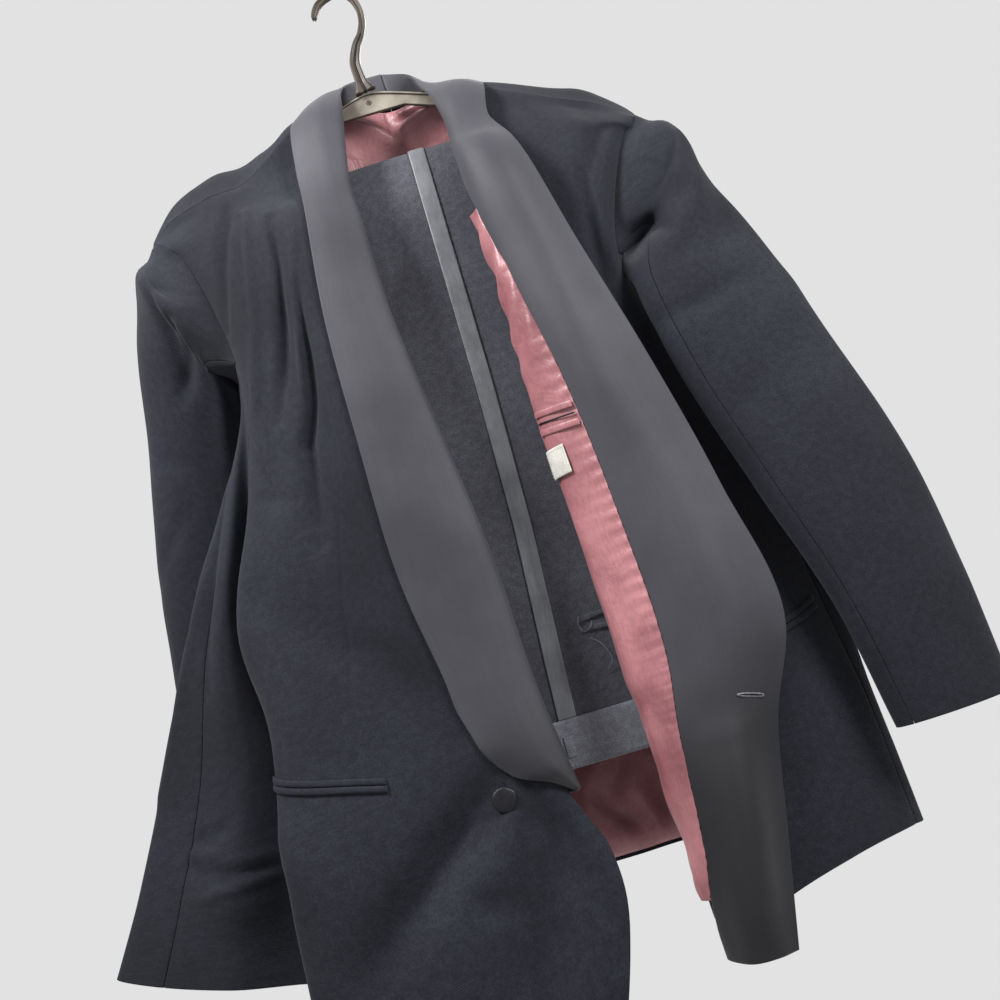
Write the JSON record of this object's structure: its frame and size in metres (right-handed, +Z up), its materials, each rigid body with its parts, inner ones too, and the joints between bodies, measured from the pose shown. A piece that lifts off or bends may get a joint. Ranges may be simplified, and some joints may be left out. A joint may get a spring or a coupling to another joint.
{
  "type": "shawl-lapel tuxedo suit on a clothes hanger",
  "caption": "Dinner suit on a plastic hanger: jacket with satin shawl lapels, its left front turned open over a lining, and trousers folded over the hanger's bar.",
  "frame": {"origin": "inner top of the hook, where it rests on its rail", "axes": "+Z up, -Y out of the jacket's front, +X to the wearer's left"},
  "size_m": [0.7745, 0.2243, 0.9964],
  "materials": {
    "wool": "dark blue-grey wool barathea, matte with a faint sheen",
    "satin": "black satin, soft sheen",
    "lining": "burgundy acetate lining, silky",
    "trouser_wool": "dark wool, matte",
    "stripe_satin": "grey-black satin ribbon",
    "label": "off-white woven label, blank",
    "hanger_plastic": "warm grey moulded plastic, satin"
  },
  "bodies": {
    "root": {"front_right": "wool", "side_right": "wool", "back_right": "wool", "back_left": "wool", "side_left": "wool", "front_left": "wool", "sleeve_right_top": "wool", "sleeve_right_under": "wool", "sleeve_left_top": "wool", "sleeve_left_under": "wool", "pocket_right_jet_upper": "wool", "pocket_right_jet_lower": "wool", "pocket_left_jet_upper": "wool", "pocket_left_jet_lower": "wool", "shawl_right": "satin", "shawl_left": "satin", "button": "satin", "lining_back": "lining", "lining_left": "lining", "inner_pocket_welt_upper": "lining", "inner_pocket_welt_lower": "lining", "label": "label", "trouser_leg_right": "trouser_wool", "trouser_leg_left": "trouser_wool", "waistband": "trouser_wool", "waistband_tab": "trouser_wool", "hip_pocket_jet_upper": "trouser_wool", "hip_pocket_jet_lower": "trouser_wool", "stripe": "stripe_satin", "hanger_hook": "hanger_plastic", "hanger_arms": "hanger_plastic", "hanger_bar": "hanger_plastic"}
  },
  "joints": []
}
